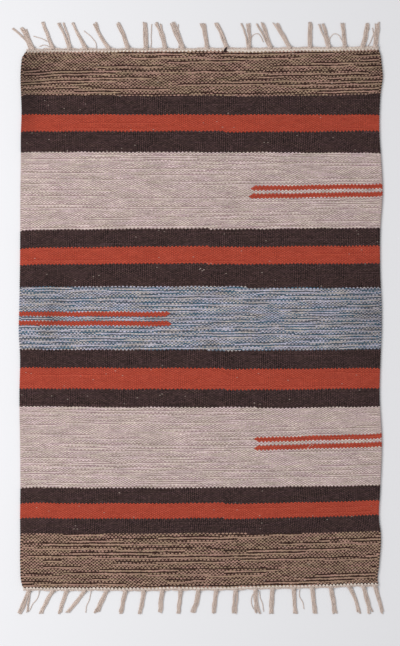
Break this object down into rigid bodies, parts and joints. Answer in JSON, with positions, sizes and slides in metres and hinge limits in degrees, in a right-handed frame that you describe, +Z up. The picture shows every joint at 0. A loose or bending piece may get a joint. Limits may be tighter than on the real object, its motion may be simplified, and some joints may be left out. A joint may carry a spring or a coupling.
{
  "type": "kilim rug",
  "caption": "Flat-woven rug with cross stripes, short inset line pairs, ribbed weft-faced weave and a knotted warp fringe at both ends, for lying on a floor.",
  "frame": {"origin": "middle of the woven cloth's underside, on the floor", "axes": "+X across the rug to its right side, +Y along the rug towards its north end, +Z up, out of the face"},
  "size_m": [0.6199, 0.989, 0.0056],
  "materials": {
    "woven_yarn": "matt weft-faced plain weave in brown, rust orange, beige and blue-grey yarn",
    "undyed_cotton": "matt undyed cotton warp yarn, knotted and loose"
  },
  "bodies": {
    "root": {"woven_cloth": "woven_yarn", "fringe_north": "undyed_cotton", "fringe_south": "undyed_cotton"}
  },
  "joints": []
}
